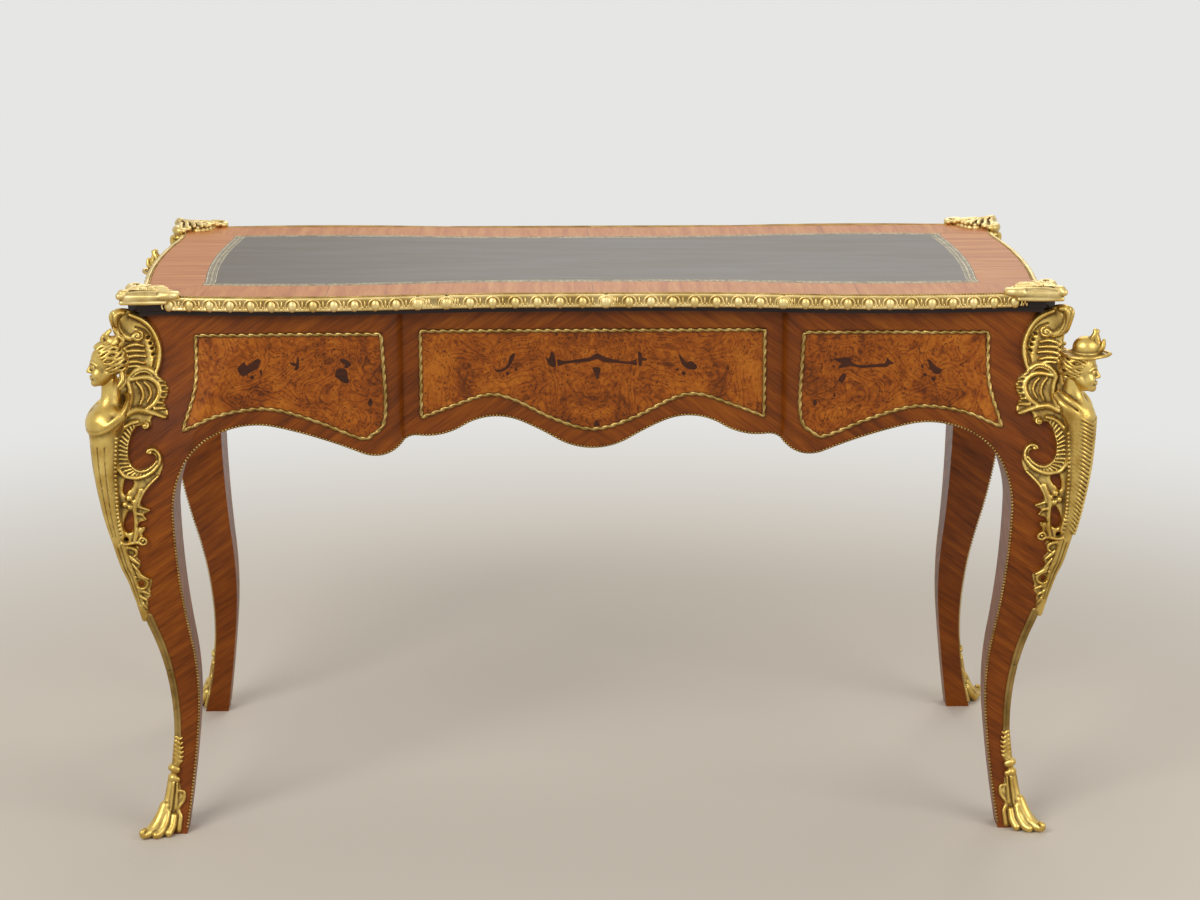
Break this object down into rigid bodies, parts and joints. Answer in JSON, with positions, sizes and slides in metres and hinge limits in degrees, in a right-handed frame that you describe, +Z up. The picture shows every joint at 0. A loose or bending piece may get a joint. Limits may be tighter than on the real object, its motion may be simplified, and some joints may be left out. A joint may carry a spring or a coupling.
{
  "type": "writing table",
  "caption": "Serpentine writing table on cabriole legs with gilt figure mounts, a leather top and drawers that slide out on the sitter's side.",
  "frame": {"origin": "on the floor, under the middle of the table", "axes": "+X along the length, +Y towards the sitter and the way the drawers open, +Z up"},
  "size_m": [1.3676, 0.7096, 0.776],
  "materials": {
    "kingwood_veneer": "French-polished kingwood veneer, reddish brown",
    "burl_veneer": "polished burl walnut panels with dark marquetry sprigs",
    "tulipwood_banding": "polished tulipwood crossbanding",
    "ebonised_wood": "black stained and polished wood",
    "oak": "plain unpolished oak",
    "gilt_brass": "fire-gilt cast brass with dark patina in the hollows",
    "leather": "black leather with gilt tooled border"
  },
  "bodies": {
    "desk": {"corner_clasps": "gilt_brass", "corner_strips": "gilt_brass", "cornice_moulding": "ebonised_wood", "drawer_guides": "oak", "drawer_lower_rail": "oak", "drawer_runners": "oak", "drawer_top_rail": "oak", "edge_moulding_back": "gilt_brass", "edge_moulding_front": "gilt_brass", "edge_moulding_left": "gilt_brass", "edge_moulding_right": "gilt_brass", "figure_mounts_hat": "gilt_brass", "figure_mounts_topknot": "gilt_brass", "front_apron_center": "burl_veneer", "front_apron_left": "burl_veneer", "front_apron_right": "burl_veneer", "glue_blocks": "oak", "knee_leaves": "gilt_brass", "leg_back_left": "kingwood_veneer", "leg_back_right": "kingwood_veneer", "leg_front_left": "kingwood_veneer", "leg_front_right": "kingwood_veneer", "panel_frames": "gilt_brass", "partition_left": "oak", "partition_right": "oak", "sabots": "gilt_brass", "side_apron_left": "burl_veneer", "side_apron_right": "burl_veneer", "top_board": "ebonised_wood", "top_crossbanding": "tulipwood_banding", "top_stringing": "gilt_brass", "writing_leather": "leather"},
    "drawer_left": {"drawer_left_back": "oak", "drawer_left_bottom": "oak", "drawer_left_brass": "gilt_brass", "drawer_left_front": "burl_veneer", "drawer_left_sides": "oak"},
    "drawer_center": {"drawer_center_back": "oak", "drawer_center_bottom": "oak", "drawer_center_brass": "gilt_brass", "drawer_center_front": "burl_veneer", "drawer_center_sides": "oak"},
    "drawer_right": {"drawer_right_back": "oak", "drawer_right_bottom": "oak", "drawer_right_brass": "gilt_brass", "drawer_right_front": "burl_veneer", "drawer_right_sides": "oak"}
  },
  "joints": [
    {"name": "drawer_left_slide", "type": "slide", "parent": "desk", "child": "drawer_left", "axis": [0, 1, 0], "range_m": [0, 0.3]},
    {"name": "drawer_center_slide", "type": "slide", "parent": "desk", "child": "drawer_center", "axis": [0, 1, 0], "range_m": [0, 0.3]},
    {"name": "drawer_right_slide", "type": "slide", "parent": "desk", "child": "drawer_right", "axis": [0, 1, 0], "range_m": [0, 0.3]}
  ]
}
